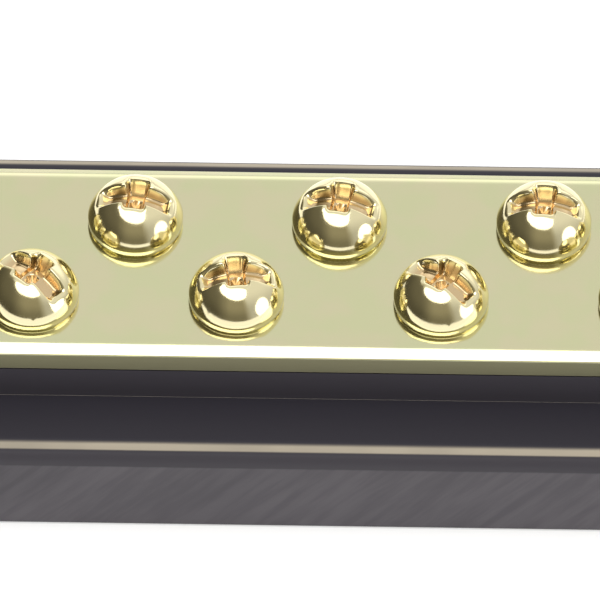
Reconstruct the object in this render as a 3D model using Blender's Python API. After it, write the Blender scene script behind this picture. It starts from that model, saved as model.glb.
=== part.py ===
"""Bus bar: a flat brass bar with two staggered rows of round-head screws, on a black moulded base.

Metres, +Z up. The origin is the middle of the base's underside. X runs along the bar and -Y is the front.
"""

import math

import bmesh
import bpy
from mathutils import Matrix, Vector

# Terminal screws, in one zigzag of two rows
SCREW_COUNT = 12
SCREW_STEP = 0.0086
ROW_SPACING = 0.0082
# Turn of each screw's slot in degrees, as a hand left it when it tightened them
SLOT_TURNS = (40, 75, 8, -42, -8, 6, -9, -35, -3, 34, 62, 120)

# Screw shape: a domed head on a short upright rim, with a slot and a cross recess
HEAD_DIAMETER = 0.0080
HEAD_HEIGHT = 0.0040
HEAD_RIM_HEIGHT = 0.0006
HEAD_FOOT_CHAMFER = 0.00015
SHANK_DIAMETER = 0.0040
SHANK_TIP_CHAMFER = 0.0004
TERMINAL_SCREW_LENGTH = 0.0080
FIXING_SCREW_LENGTH = 0.0100
SLOT_WIDTH = 0.0013
SLOT_DEPTH = 0.0017
WING_WIDTH = 0.0012
WING_SPAN = 0.0040
WING_DEPTH = 0.0020
WING_FOOT_SPAN = 0.0020
CORE_TOP_DIAMETER = 0.0024
CORE_FOOT_DIAMETER = 0.0010
CORE_DEPTH = 0.0026

# Brass bar
BAR_WIDTH = 0.0202
BAR_THICKNESS = 0.0024
BAR_END_MARGIN = 0.0167
BAR_BEVEL_WIDTH = 0.0011
BAR_BEVEL_DROP = 0.00042
BAR_FOOT_EDGE_RADIUS = 0.0003
BAR_CORNER_RADIUS = 0.0012
FIXING_END_DISTANCE = 0.0060

# Moulded base: a wide body with a rounded top edge, and a plinth that carries the bar
BODY_WIDTH = 0.0329
BODY_HEIGHT = 0.0094
BODY_END_LENGTH = 0.0160
BODY_CORNER_RADIUS = 0.0050
BODY_TOP_EDGE_RADIUS = 0.0018
PLINTH_HEIGHT = 0.0034
PLINTH_CORNER_RADIUS = 0.0014
END_STOP_THICKNESS = 0.0018
END_STOP_HEIGHT = 0.0012

# Cored underside of the base
WALL = 0.0022
ROOF = 0.0025
SPINE_THICKNESS = 0.0020
RIB_THICKNESS = 0.0020
BAY_COUNT = 8
BOSS_WALL = 0.0015
BOSS_FLOOR = 0.0015
WELL_END_ROOM = 0.0010

# Mounting holes in the ends of the base
MOUNT_HOLE_DIAMETER = 0.0064
MOUNT_SEAT_DIAMETER = 0.0110
MOUNT_SEAT_DEPTH = 0.0030
MOUNT_HOLE_END_DISTANCE = 0.0076

# Lock washers and threaded inserts that hold the bar down
WASHER_DIAMETER = 0.0070
WASHER_THICKNESS = 0.0009
WASHER_SPLIT = 0.0006
INSERT_DIAMETER = 0.0056
INSERT_LENGTH = 0.0060
INSERT_FLANGE_DIAMETER = 0.0064
INSERT_FLANGE_THICKNESS = 0.0008
INSERT_GROOVE_DEPTH = 0.0004
INSERT_GROOVE_LENGTH = 0.0014

# Clearances and the length by which a cutter runs past what it cuts
SEAT_GAP = 0.00005
THREAD_GAP = 0.00008
WELL_GAP = 0.0003
CUT_OVERRUN = 0.0010

# Facets
SCREW_SIDES = 24
HOLE_SIDES = 20
DOME_STEPS = 4
CORNER_STEPS = 4
EDGE_STEPS = 3
BODY_EDGE_STEPS = 4
SHARP_ANGLE = math.radians(35)

# Heights and lengths worked out from the sizes above
DECK_Z = BODY_HEIGHT + PLINTH_HEIGHT
BAR_FOOT_Z = DECK_Z + SEAT_GAP
BAR_TOP_Z = BAR_FOOT_Z + BAR_THICKNESS
SCREW_SEAT_Z = BAR_TOP_Z + SEAT_GAP
WASHER_FOOT_Z = BAR_TOP_Z + SEAT_GAP
FIXING_SEAT_Z = WASHER_FOOT_Z + WASHER_THICKNESS + SEAT_GAP
BAR_LENGTH = (SCREW_COUNT - 1) * SCREW_STEP + 2 * BAR_END_MARGIN
STOP_INNER_X = BAR_LENGTH / 2 + SEAT_GAP
PLINTH_LENGTH = 2 * (STOP_INNER_X + END_STOP_THICKNESS)
BODY_LENGTH = BAR_LENGTH + 2 * BODY_END_LENGTH
FIXING_X = BAR_LENGTH / 2 - FIXING_END_DISTANCE
MOUNT_X = BODY_LENGTH / 2 - MOUNT_HOLE_END_DISTANCE
SHANK_RADIUS = SHANK_DIAMETER / 2
BAR_HOLE_RADIUS = SHANK_RADIUS + THREAD_GAP
WELL_RADIUS = SHANK_RADIUS + WELL_GAP
WELL_FLOOR_Z = SCREW_SEAT_Z - TERMINAL_SCREW_LENGTH - WELL_END_ROOM
INSERT_TOP_Z = DECK_Z
INSERT_WELL_FLOOR_Z = FIXING_SEAT_Z - FIXING_SCREW_LENGTH - WELL_END_ROOM


def screw_places():
    """(x, y) of each terminal screw: the first is in the back row, and the rows take turns."""
    start = -(SCREW_COUNT - 1) * SCREW_STEP / 2
    return [
        (start + i * SCREW_STEP, ROW_SPACING / 2 if i % 2 == 0 else -ROW_SPACING / 2)
        for i in range(SCREW_COUNT)
    ]


def fixing_places():
    """(name, x) of the screws that hold the bar to the base, on its centre line."""
    return [("left", -FIXING_X), ("right", FIXING_X)]


def clear_scene():
    for obj in list(bpy.data.objects):
        bpy.data.objects.remove(obj)


def make_material(name, colour, roughness, metallic):
    material = bpy.data.materials.new(name)
    material.use_nodes = True
    shader = material.node_tree.nodes["Principled BSDF"]
    shader.inputs["Base Color"].default_value = (*colour, 1.0)
    shader.inputs["Roughness"].default_value = roughness
    shader.inputs["Metallic"].default_value = metallic
    material.diffuse_color = (*colour, 1.0)
    return material


def make_object(name, bm, material=None):
    """Turns a bmesh into an object, with its faces pointing outwards."""
    bmesh.ops.recalc_face_normals(bm, faces=bm.faces)
    mesh = bpy.data.meshes.new(name)
    bm.to_mesh(mesh)
    bm.free()
    obj = bpy.data.objects.new(name, mesh)
    bpy.context.collection.objects.link(obj)
    if material:
        mesh.materials.append(material)
    return obj


def make_cutter(name, bm):
    """A helper for a Boolean, which is not part of the object."""
    cutter = make_object(name, bm)
    cutter.hide_render = True
    cutter.display_type = "WIRE"
    return cutter


def apply_boolean(obj, operation, helper):
    modifier = obj.modifiers.new(helper.name, "BOOLEAN")
    modifier.operation = operation
    modifier.solver = "EXACT"
    modifier.object = helper


def shade(mesh):
    mesh.shade_smooth()
    mesh.set_sharp_from_angle(angle=SHARP_ANGLE)


def add_prism(bm, outline, height, foot_z):
    """A closed prism on an outline in X and Y."""
    face = bm.faces.new([bm.verts.new((x, y, foot_z)) for x, y in outline])
    top = bmesh.ops.extrude_face_region(bm, geom=[face])["geom"]
    raised = [v for v in top if isinstance(v, bmesh.types.BMVert)]
    bmesh.ops.translate(bm, vec=Vector((0, 0, height)), verts=raised)


def add_cylinder(bm, x, y, radius, foot_z, top_z, sides=HOLE_SIDES):
    bmesh.ops.create_cone(
        bm,
        cap_ends=True,
        segments=sides,
        radius1=radius,
        radius2=radius,
        depth=top_z - foot_z,
        matrix=Matrix.Translation((x, y, (foot_z + top_z) / 2)),
    )


def rounded_rectangle(half_x, half_y, radius):
    """Outline of a rectangle with round corners, anticlockwise."""
    points = []
    for corner in range(4):
        turn = corner * math.pi / 2
        centre_x = (half_x - radius) * (1 if corner in (0, 3) else -1)
        centre_y = (half_y - radius) * (1 if corner in (0, 1) else -1)
        for step in range(CORNER_STEPS + 1):
            angle = turn + step / CORNER_STEPS * math.pi / 2
            points.append((centre_x + radius * math.cos(angle), centre_y + radius * math.sin(angle)))
    return points


def add_rounded_block(bm, half_x, half_y, corner_radius, levels):
    """A block with round corners, lofted through levels of (inset, z) from its foot to its top."""
    loops = []
    for inset, z in levels:
        outline = rounded_rectangle(half_x - inset, half_y - inset, max(corner_radius - inset, SEAT_GAP))
        loops.append([bm.verts.new((x, y, z)) for x, y in outline])
    for lower, upper in zip(loops, loops[1:]):
        for i in range(len(lower)):
            j = (i + 1) % len(lower)
            bm.faces.new((lower[i], lower[j], upper[j], upper[i]))
    bm.faces.new(reversed(loops[0]))
    bm.faces.new(loops[-1])


def rounded_top(radius, top_z, steps):
    """Levels of a quarter-round edge, from where it leaves the side to the top face."""
    return [
        (
            radius * (1 - math.cos(i / steps * math.pi / 2)),
            top_z - radius * (1 - math.sin(i / steps * math.pi / 2)),
        )
        for i in range(steps + 1)
    ]


def rounded_foot(radius, foot_z, steps):
    """Levels of a quarter-round edge, from the foot face to where it meets the side."""
    return [
        (
            radius * (1 - math.sin(i / steps * math.pi / 2)),
            foot_z + radius * (1 - math.cos(i / steps * math.pi / 2)),
        )
        for i in range(steps + 1)
    ]


def add_turned(bm, profile, sides):
    """A solid turned about Z from a profile of (radius, z) that starts and ends on the axis."""
    rings = []
    for radius, z in profile:
        if radius == 0:
            rings.append([bm.verts.new((0, 0, z))])
            continue
        rings.append(
            [
                bm.verts.new((radius * math.cos(a), radius * math.sin(a), z))
                for a in (2 * math.pi * k / sides for k in range(sides))
            ]
        )
    for first, second in zip(rings, rings[1:]):
        for k in range(sides):
            following = (k + 1) % sides
            corners = [first[k % len(first)], first[following % len(first)]]
            corners += [second[following % len(second)], second[k % len(second)]]
            bm.faces.new(list(dict.fromkeys(corners)))


def add_tube(bm, profile, sides):
    """A ring turned about Z from a closed profile of (radius, z)."""
    rings = [
        [
            bm.verts.new((radius * math.cos(a), radius * math.sin(a), z))
            for a in (2 * math.pi * k / sides for k in range(sides))
        ]
        for radius, z in profile
    ]
    for i, first in enumerate(rings):
        second = rings[(i + 1) % len(rings)]
        for k in range(sides):
            following = (k + 1) % sides
            bm.faces.new((first[k], first[following], second[following], second[k]))


def head_profile():
    """The head's dome and rim as (radius, z) above its seat, from the crown down."""
    radius = HEAD_DIAMETER / 2
    crown = HEAD_HEIGHT - HEAD_RIM_HEIGHT
    ball = (radius**2 + crown**2) / (2 * crown)
    spread = math.atan2(radius, ball - crown)
    points = [(0, HEAD_HEIGHT)]
    for i in range(1, DOME_STEPS + 1):
        angle = spread * i / DOME_STEPS
        points.append((ball * math.sin(angle), HEAD_HEIGHT - ball * (1 - math.cos(angle))))
    points.append((radius, HEAD_FOOT_CHAMFER))
    points.append((radius - HEAD_FOOT_CHAMFER, 0))
    return points


def make_screw_mesh(name, length, material):
    """One screw standing on its seat at z = 0, with its slot along X."""
    shank = [
        (SHANK_RADIUS, 0),
        (SHANK_RADIUS, SHANK_TIP_CHAMFER - length),
        (SHANK_RADIUS - SHANK_TIP_CHAMFER, -length),
        (0, -length),
    ]
    bm = bmesh.new()
    add_turned(bm, head_profile() + shank, SCREW_SIDES)
    screw = make_object(name, bm, material)

    bm = bmesh.new()
    slot_rise = SLOT_DEPTH + CUT_OVERRUN
    slot = Matrix.Translation((0, 0, HEAD_HEIGHT - SLOT_DEPTH + slot_rise / 2))
    slot @= Matrix.Diagonal((HEAD_DIAMETER + CUT_OVERRUN, SLOT_WIDTH, slot_rise, 1))
    bmesh.ops.create_cube(bm, size=1, matrix=slot)
    apply_boolean(screw, "DIFFERENCE", make_cutter(name + "_slot_cutter", bm))

    bm = bmesh.new()
    wing_slope = (WING_SPAN - WING_FOOT_SPAN) / 2 / WING_DEPTH
    wing_top = WING_SPAN / 2 + wing_slope * CUT_OVERRUN
    foot_z = HEAD_HEIGHT - WING_DEPTH
    top_z = HEAD_HEIGHT + CUT_OVERRUN
    corners = [
        (-WING_FOOT_SPAN / 2, foot_z),
        (WING_FOOT_SPAN / 2, foot_z),
        (wing_top, top_z),
        (-wing_top, top_z),
    ]
    side = bm.faces.new([bm.verts.new((-WING_WIDTH / 2, y, z)) for y, z in corners])
    far = bmesh.ops.extrude_face_region(bm, geom=[side])["geom"]
    bmesh.ops.translate(
        bm,
        vec=Vector((WING_WIDTH, 0, 0)),
        verts=[v for v in far if isinstance(v, bmesh.types.BMVert)],
    )
    apply_boolean(screw, "DIFFERENCE", make_cutter(name + "_wing_cutter", bm))

    bm = bmesh.new()
    core_slope = (CORE_TOP_DIAMETER - CORE_FOOT_DIAMETER) / CORE_DEPTH
    bmesh.ops.create_cone(
        bm,
        cap_ends=True,
        segments=HOLE_SIDES // 2,
        radius1=CORE_FOOT_DIAMETER / 2,
        radius2=(CORE_TOP_DIAMETER + core_slope * CUT_OVERRUN) / 2,
        depth=CORE_DEPTH + CUT_OVERRUN,
        matrix=Matrix.Translation((0, 0, HEAD_HEIGHT + (CUT_OVERRUN - CORE_DEPTH) / 2)),
    )
    apply_boolean(screw, "DIFFERENCE", make_cutter(name + "_core_cutter", bm))

    graph = bpy.context.evaluated_depsgraph_get()
    mesh = bpy.data.meshes.new_from_object(screw.evaluated_get(graph))
    mesh.name = name
    bpy.data.objects.remove(screw)
    shade(mesh)
    return mesh


def place_copy(name, mesh, location, turn_degrees, parent):
    obj = bpy.data.objects.new(name, mesh)
    bpy.context.collection.objects.link(obj)
    obj.parent = parent
    obj.location = location
    obj.rotation_euler = (0, 0, math.radians(turn_degrees))
    return obj


def make_bar(material):
    """The brass bar, with a tapped hole for each screw."""
    bm = bmesh.new()
    levels = rounded_foot(BAR_FOOT_EDGE_RADIUS, BAR_FOOT_Z, EDGE_STEPS)
    levels += [(0, BAR_TOP_Z - BAR_BEVEL_DROP), (BAR_BEVEL_WIDTH, BAR_TOP_Z)]
    add_rounded_block(bm, BAR_LENGTH / 2, BAR_WIDTH / 2, BAR_CORNER_RADIUS, levels)
    bar = make_object("bus_bar", bm, material)
    bm = bmesh.new()
    for x, y in screw_places() + [(x, 0) for _, x in fixing_places()]:
        add_cylinder(bm, x, y, BAR_HOLE_RADIUS, BAR_FOOT_Z - CUT_OVERRUN, BAR_TOP_Z + CUT_OVERRUN)
    apply_boolean(bar, "DIFFERENCE", make_cutter("bar_hole_cutter", bm))
    return bar


def add_bays(bm):
    """Prisms that core out the underside: two to a bay, one each side of the spine."""
    pitch = (BAR_LENGTH + RIB_THICKNESS) / BAY_COUNT
    low_roof = BODY_HEIGHT - ROOF
    high_roof = DECK_Z - ROOF
    inner = SPINE_THICKNESS / 2
    step = BAR_WIDTH / 2 - WALL
    outer = BODY_WIDTH / 2 - WALL
    section = [
        (inner, -CUT_OVERRUN),
        (outer, -CUT_OVERRUN),
        (outer, low_roof),
        (step, low_roof),
        (step, high_roof),
        (inner, high_roof),
    ]
    for bay in range(BAY_COUNT):
        start_x = -(BAR_LENGTH + RIB_THICKNESS) / 2 + bay * pitch + RIB_THICKNESS / 2
        for side in (1, -1):
            end = bm.faces.new([bm.verts.new((start_x, side * y, z)) for y, z in section])
            far = bmesh.ops.extrude_face_region(bm, geom=[end])["geom"]
            bmesh.ops.translate(
                bm,
                vec=Vector((pitch - RIB_THICKNESS, 0, 0)),
                verts=[v for v in far if isinstance(v, bmesh.types.BMVert)],
            )


def make_base(material):
    """The moulded base: body and plinth with end stops, cored from below, with a well under each screw."""
    bm = bmesh.new()
    levels = [(0, 0)] + rounded_top(BODY_TOP_EDGE_RADIUS, BODY_HEIGHT, BODY_EDGE_STEPS)
    add_rounded_block(bm, BODY_LENGTH / 2, BODY_WIDTH / 2, BODY_CORNER_RADIUS, levels)
    base = make_object("base", bm, material)

    bm = bmesh.new()
    outline = rounded_rectangle(PLINTH_LENGTH / 2, BAR_WIDTH / 2, PLINTH_CORNER_RADIUS)
    foot_z = BODY_HEIGHT - CUT_OVERRUN
    add_prism(bm, outline, DECK_Z + END_STOP_HEIGHT - foot_z, foot_z)
    apply_boolean(base, "UNION", make_cutter("plinth", bm))

    bm = bmesh.new()
    seat_y = BAR_WIDTH / 2 + CUT_OVERRUN
    seat = [(STOP_INNER_X, seat_y), (-STOP_INNER_X, seat_y)]
    seat += [(-STOP_INNER_X, -seat_y), (STOP_INNER_X, -seat_y)]
    add_prism(bm, seat, END_STOP_HEIGHT + CUT_OVERRUN, DECK_Z)
    apply_boolean(base, "DIFFERENCE", make_cutter("bar_seat_cutter", bm))

    bm = bmesh.new()
    add_bays(bm)
    apply_boolean(base, "DIFFERENCE", make_cutter("bay_cutter", bm))

    bm = bmesh.new()
    boss_top_z = DECK_Z - ROOF / 2
    for x, y in screw_places():
        add_cylinder(bm, x, y, WELL_RADIUS + BOSS_WALL, WELL_FLOOR_Z - BOSS_FLOOR, boss_top_z)
    for _, x in fixing_places():
        radius = INSERT_FLANGE_DIAMETER / 2 + SEAT_GAP + BOSS_WALL
        add_cylinder(bm, x, 0, radius, INSERT_WELL_FLOOR_Z - BOSS_FLOOR, boss_top_z)
    apply_boolean(base, "UNION", make_cutter("bosses", bm))

    bm = bmesh.new()
    top_z = DECK_Z + CUT_OVERRUN
    for x, y in screw_places():
        add_cylinder(bm, x, y, WELL_RADIUS, WELL_FLOOR_Z, top_z)
    for _, x in fixing_places():
        add_cylinder(bm, x, 0, INSERT_DIAMETER / 2 + SEAT_GAP, INSERT_WELL_FLOOR_Z, top_z)
    apply_boolean(base, "DIFFERENCE", make_cutter("well_cutter", bm))

    bm = bmesh.new()
    flange_seat_z = INSERT_TOP_Z - INSERT_FLANGE_THICKNESS - SEAT_GAP
    for _, x in fixing_places():
        add_cylinder(bm, x, 0, INSERT_FLANGE_DIAMETER / 2 + SEAT_GAP, flange_seat_z, top_z)
    for x in (-MOUNT_X, MOUNT_X):
        add_cylinder(bm, x, 0, MOUNT_HOLE_DIAMETER / 2, -CUT_OVERRUN, BODY_HEIGHT)
    apply_boolean(base, "DIFFERENCE", make_cutter("hole_cutter", bm))

    bm = bmesh.new()
    for x in (-MOUNT_X, MOUNT_X):
        seat_z = BODY_HEIGHT - MOUNT_SEAT_DEPTH
        add_cylinder(bm, x, 0, MOUNT_SEAT_DIAMETER / 2, seat_z, BODY_HEIGHT + CUT_OVERRUN)
    apply_boolean(base, "DIFFERENCE", make_cutter("mount_seat_cutter", bm))
    return base


def make_washer_mesh(material):
    """A split lock washer, pressed flat, with its foot at z = 0 and its split on the front."""
    inner = BAR_HOLE_RADIUS
    outer = WASHER_DIAMETER / 2
    half_split = WASHER_SPLIT / 2

    def arc(radius, forward):
        gap = math.asin(half_split / radius)
        turns = [gap + i / HOLE_SIDES * (2 * math.pi - 2 * gap) for i in range(HOLE_SIDES + 1)]
        turns = turns if forward else turns[::-1]
        return [(radius * math.sin(t), -radius * math.cos(t)) for t in turns]

    bm = bmesh.new()
    add_prism(bm, arc(outer, True) + arc(inner, False), WASHER_THICKNESS, 0)
    washer = make_object("lock_washer", bm, material)
    mesh = washer.data
    bpy.data.objects.remove(washer)
    shade(mesh)
    return mesh


def make_insert_mesh(material):
    """A flanged brass insert with a groove round its middle, hanging below its top at z = 0."""
    outer = INSERT_DIAMETER / 2
    groove_top = -(INSERT_FLANGE_THICKNESS + INSERT_LENGTH - INSERT_GROOVE_LENGTH) / 2
    groove_foot = groove_top - INSERT_GROOVE_LENGTH
    profile = [
        (BAR_HOLE_RADIUS, 0),
        (BAR_HOLE_RADIUS, -INSERT_LENGTH),
        (outer, -INSERT_LENGTH),
        (outer, groove_foot),
        (outer - INSERT_GROOVE_DEPTH, groove_foot),
        (outer - INSERT_GROOVE_DEPTH, groove_top),
        (outer, groove_top),
        (outer, -INSERT_FLANGE_THICKNESS),
        (INSERT_FLANGE_DIAMETER / 2, -INSERT_FLANGE_THICKNESS),
        (INSERT_FLANGE_DIAMETER / 2, 0),
    ]
    bm = bmesh.new()
    add_tube(bm, profile, HOLE_SIDES)
    insert = make_object("threaded_insert", bm, material)
    mesh = insert.data
    bpy.data.objects.remove(insert)
    shade(mesh)
    return mesh


def main():
    clear_scene()
    black_plastic = make_material("black_plastic", (0.018, 0.018, 0.022), 0.30, 0.0)
    bar_brass = make_material("bar_brass", (0.80, 0.76, 0.48), 0.18, 1.0)
    screw_brass = make_material("screw_brass", (0.86, 0.72, 0.42), 0.12, 1.0)
    spring_steel = make_material("spring_steel", (0.62, 0.62, 0.60), 0.30, 1.0)
    insert_brass = make_material("insert_brass", (0.74, 0.60, 0.32), 0.35, 1.0)

    bus_bar = bpy.data.objects.new("bus_bar_assembly", None)
    bpy.context.collection.objects.link(bus_bar)

    base = make_base(black_plastic)
    bar = make_bar(bar_brass)
    for piece in (base, bar):
        piece.parent = bus_bar
        shade(piece.data)

    terminal_mesh = make_screw_mesh("terminal_screw", TERMINAL_SCREW_LENGTH, screw_brass)
    for i, (x, y) in enumerate(screw_places()):
        turn = SLOT_TURNS[i % len(SLOT_TURNS)]
        place_copy(f"terminal_screw_{i + 1:02d}", terminal_mesh, (x, y, SCREW_SEAT_Z), turn, bus_bar)

    fixing_mesh = make_screw_mesh("fixing_screw", FIXING_SCREW_LENGTH, screw_brass)
    washer_mesh = make_washer_mesh(spring_steel)
    insert_mesh = make_insert_mesh(insert_brass)
    for side, x in fixing_places():
        turn = SLOT_TURNS[0] if side == "left" else SLOT_TURNS[-1]
        place_copy(f"fixing_screw_{side}", fixing_mesh, (x, 0, FIXING_SEAT_Z), turn, bus_bar)
        place_copy(f"lock_washer_{side}", washer_mesh, (x, 0, WASHER_FOOT_Z), 0, bus_bar)
        place_copy(f"threaded_insert_{side}", insert_mesh, (x, 0, INSERT_TOP_Z), 0, bus_bar)


main()
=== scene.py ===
"""Looks of the bus bar: its base, brass bar, screws and small hardware, on a plain stage."""

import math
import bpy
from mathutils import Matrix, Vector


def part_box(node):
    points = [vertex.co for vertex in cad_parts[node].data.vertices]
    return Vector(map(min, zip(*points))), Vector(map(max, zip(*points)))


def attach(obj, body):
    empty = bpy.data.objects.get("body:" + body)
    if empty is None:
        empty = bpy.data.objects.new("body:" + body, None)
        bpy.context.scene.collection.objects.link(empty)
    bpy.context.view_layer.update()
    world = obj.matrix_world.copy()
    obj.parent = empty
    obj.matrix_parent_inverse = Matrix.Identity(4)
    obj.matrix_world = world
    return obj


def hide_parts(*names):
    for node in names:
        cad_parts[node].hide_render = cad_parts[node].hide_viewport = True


bl_info = {
    "name": "Bus bar",
    "version": (1, 0, 0),
    "blender": (4, 5, 0),
    "location": "View3D > Sidebar > Bus bar",
    "description": "Builds a brass bus bar with its screws and moulded base, and a plain stage",
    "category": "Add Mesh",
}

import bmesh
import bpy
from mathutils import Matrix, Quaternion, Vector

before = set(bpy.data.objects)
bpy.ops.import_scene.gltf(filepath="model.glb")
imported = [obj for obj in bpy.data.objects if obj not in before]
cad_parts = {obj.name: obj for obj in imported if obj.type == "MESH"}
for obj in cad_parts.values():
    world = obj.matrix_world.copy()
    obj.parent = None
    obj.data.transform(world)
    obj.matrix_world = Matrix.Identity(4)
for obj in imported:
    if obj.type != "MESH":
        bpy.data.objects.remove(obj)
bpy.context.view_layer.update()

BODY = "root"
TERMINAL_NODES = sorted(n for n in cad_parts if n.startswith("terminal_screw"))
SIDES = ("left", "right")
BASE_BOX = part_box("base")
BAR_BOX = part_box("bus_bar")
TERMINAL_BOXES = [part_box(node) for node in TERMINAL_NODES]
FIXING_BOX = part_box("fixing_screw_right")
WASHER_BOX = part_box("lock_washer_right")
INSERT_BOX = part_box("threaded_insert_right")
MM = 0.001

# Turn of each terminal screw's slot, then of the two fixing screws', in degrees
SLOT_TURNS = (40, 75, 8, -42, -8, 6, -9, -35, -3, 34, 62, 120)
FIXING_TURNS = (40, 120)
NO_TURNS = (0, 0)

# Attributes of the points that carry copies, and of a screw's mesh
TURN_ATTRIBUTE = "slot_turn"
RECESS_ATTRIBUTE = "recess"

# Steps in rounded forms
CORNER_STEPS = 10
EDGE_STEPS = 8
HOLE_SIDES = 48
SOFT_SHARE = 0.49  # the most of a path's side that a softened corner takes
FULL_TURN = 2 * math.pi
EDGE_TURNS = [i / EDGE_STEPS * math.pi / 2 for i in range(EDGE_STEPS + 1)]

# A screw's mesh
HEAD_RINGS = 9  # from the grid over the recess to the rim
SHANK_STRIDE = 4  # head points to one shank point
THREAD_ROWS = 4  # in one turn of the thread
GRID_SHARE = 0.675  # half the grid's side, as a part of the head's radius
WALL_LINES = (-1.7, -1.0, -0.7, -0.4, -0.1, 0.2, 0.5, 0.8, 1.1)  # in soft edges from a wall
OUTER_LINES = 6  # grid lines outside those

# Angles between faces from which an edge stays sharp
SHARP_ANGLE = math.radians(38)
SCREW_SHARP_ANGLE = math.radians(60)

OVERRUN = 1.0 * MM  # how far cutters run past what they cut
MERGE = 1e-7  # less than this is no length
WELD = MERGE * 10  # points as near as this become one
RIM_NEAR = MERGE * 100  # points as near as this to a head's rim are on it
SEAT_GAP = 0.05 * MM  # room between solids that touch


def middle(box):
    """The middle of a node's box."""
    return (box[0] + box[1]) / 2


def length(label, millimetres, text):
    """A size that the sidebar shows."""
    return bpy.props.FloatProperty(
        name=label, description=text, default=millimetres * MM, min=0.0, precision=5, unit="LENGTH"
    )


def colour(label, default, text):
    """A base colour that the sidebar shows."""
    return bpy.props.FloatVectorProperty(
        name=label, description=text, default=default, size=3, min=0.0, max=1.0, subtype="COLOR"
    )


def share(label, default, text, high=1.0):
    """A plain number that the sidebar shows."""
    return bpy.props.FloatProperty(name=label, description=text, default=default, min=0.0, max=high)


def angle(label, degrees, text):
    """An angle that the sidebar shows."""
    return bpy.props.FloatProperty(
        name=label, description=text, default=math.radians(degrees), subtype="ANGLE"
    )


class BusBarBaseSizes(bpy.types.PropertyGroup):
    """Sizes of the moulded base."""

    body_height: length("Body height", 9.4, "Height of the wide lower body")
    body_edge: length("Body edge", 1.8, "Radius of the body's top edge")
    body_foot_edge: length("Foot edge", 0.35, "Radius of the body's foot edge")
    body_corner: length("Body corner", 5.0, "Radius of the body's corners in plan")
    plinth_corner: length("Plinth corner", 1.4, "Radius of the plinth's corners in plan")
    plinth_fillet: length("Plinth fillet", 0.06, "Radius where the plinth meets the body")
    stop_thickness: length("End stop", 1.8, "Thickness of the stops at the bar's ends")
    stop_edge: length("End stop edge", 0.4, "Radius of the stops' top edge")
    wall: length("Wall", 2.2, "Thickness of the outer walls seen from below")
    roof: length("Roof", 2.5, "Thickness of the top seen from below")
    spine: length("Spine", 2.0, "Thickness of the rib along the middle")
    rib: length("Rib", 2.0, "Thickness of the cross ribs")
    boss_wall: length("Boss wall", 1.5, "Wall of the bosses under the screws")
    boss_floor: length("Boss floor", 1.5, "Floor of the bosses under the screws")
    well_gap: length("Well gap", 0.3, "Room round a screw's shank in the base")
    well_end_room: length("Well end room", 1.0, "Room below a screw's tip in the base")
    mount_hole: length("Mounting hole", 6.4, "Diameter of the mounting holes")
    mount_seat: length("Mounting seat", 11.0, "Diameter of the recess round a mounting hole")
    mount_seat_depth: length("Seat depth", 3.0, "Depth of the recess round a mounting hole")
    mount_end_distance: length("Hole to end", 7.6, "Mounting hole's middle to the end")
    bay_count: bpy.props.IntProperty(
        name="Bays", description="Cored bays along the underside", default=8, min=1
    )


class BusBarMetalSizes(bpy.types.PropertyGroup):
    """Sizes of the bar and its hardware."""

    bar_crown: length("Bar crown", 0.75, "Width over which the top falls away slightly")
    bar_crown_drop: length("Bar crown drop", 0.06, "Fall of that crown")
    bar_bevel: length("Bar bevel", 0.92, "Width of the rolled bevel along the top edge")
    bar_bevel_drop: length("Bar bevel drop", 0.46, "Height of that bevel")
    bar_edge: length("Bar edge", 0.09, "Radius between the bevel and the side")
    bar_foot_edge: length("Bar foot edge", 0.1, "Radius of the bar's lower edge")
    bar_corner: length("Bar corner", 1.2, "Radius of the bar's corners in plan")
    hole_gap: length("Hole gap", 0.08, "Room between a shank and the bar's hole")
    head_diameter: length("Head diameter", 8.0, "Diameter of a screw's head")
    head_height: length("Head height", 4.0, "Height of a screw's head")
    head_rim: length("Head rim", 1.0, "Height of the upright rim below the dome")
    head_foot_edge: length("Head foot edge", 0.4, "Chamfer under the rim")
    shank_diameter: length("Shank diameter", 4.0, "Outside diameter of the thread")
    thread_pitch: length("Thread pitch", 0.7, "Distance from one thread to the next")
    thread_depth: length("Thread depth", 0.38, "Depth of the thread")
    thread_neck: length("Thread neck", 0.4, "Plain length under the head")
    tip_chamfer: length("Tip chamfer", 0.4, "Chamfer of the tip")
    slot_width: length("Slot width", 1.6, "Width of the driver slot")
    slot_depth: length("Slot depth", 1.2, "Depth of the driver slot at its middle")
    slot_reach: length("Slot reach", 3.3, "Where the slot runs out, from the middle")
    wing_width: length("Wing width", 1.7, "Width of the cross recess's wings")
    wing_depth: length("Wing depth", 1.7, "Depth of the wings at their middle")
    wing_reach: length("Wing reach", 1.70, "Where the wings run out, from the middle")
    wing_shift: length("Wing shift", 0.25, "How far the wings sit off the middle")
    wing_slope: share("Wing slope", 2.3, "Slope of the wings' ends", 10.0)
    run_out: length("Run-out", 1.2, "Length over which the slot runs out")
    core_top: length("Core mouth", 1.6, "Diameter of the recess's core at the crown")
    core_foot: length("Core foot", 0.7, "Diameter of the recess's core at its foot")
    core_depth: length("Core depth", 2.4, "Depth of the recess's core")
    recess_edge: length("Recess edge", 0.28, "Softness of the recess's edges")
    washer_split: length("Washer split", 0.6, "Width of a lock washer's split")
    washer_rise: length("Washer rise", 0.10, "Chamfer of a lock washer's edges")
    insert_flange: length("Insert flange", 0.8, "Thickness of an insert's flange")
    insert_body: length("Insert body", 5.6, "Diameter of an insert below its flange")
    insert_groove: length("Insert groove", 1.4, "Width of the groove round an insert")
    insert_groove_depth: length("Groove depth", 0.4, "Depth of that groove")


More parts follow.
